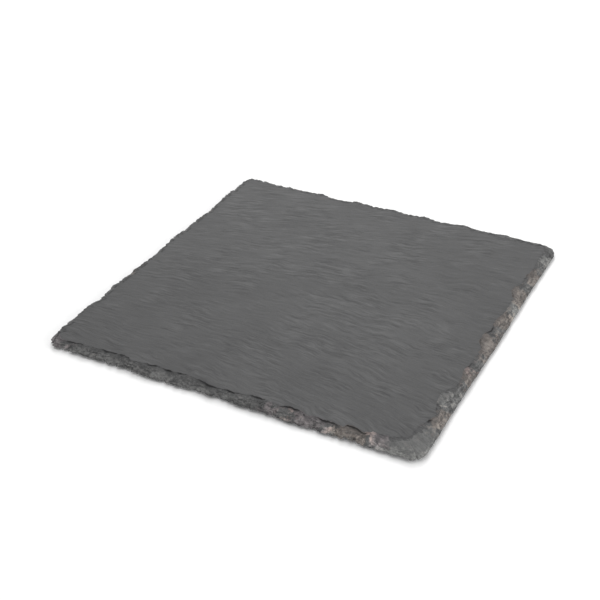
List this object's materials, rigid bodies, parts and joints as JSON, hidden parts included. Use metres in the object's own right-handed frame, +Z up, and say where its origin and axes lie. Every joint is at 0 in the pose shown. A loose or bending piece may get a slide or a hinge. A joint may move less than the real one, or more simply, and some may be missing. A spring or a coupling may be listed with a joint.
{
  "type": "slate slab",
  "caption": "Thin square slab of riven slate with hand-dressed, flaked edges, on soft stick-on feet, as a flat stone surface to work on.",
  "frame": {"origin": "on the surface that the feet stand on, under the middle of the slab", "axes": "+Z up through the slab's thickness, the shortest extent; -Y is the front side and +X the right side; the corner at +X -Y is the one with the large flake"},
  "size_m": [0.3, 0.3, 0.007],
  "materials": {
    "slate": "matte",
    "foot_rubber": "matte",
    "adhesive_film": "satin"
  },
  "bodies": {
    "root": {"slab": "slate", "foot_front_left": "foot_rubber", "foot_front_right": "foot_rubber", "foot_back_left": "foot_rubber", "foot_back_right": "foot_rubber", "adhesive_front_left": "adhesive_film", "adhesive_front_right": "adhesive_film", "adhesive_back_left": "adhesive_film", "adhesive_back_right": "adhesive_film"}
  },
  "joints": []
}
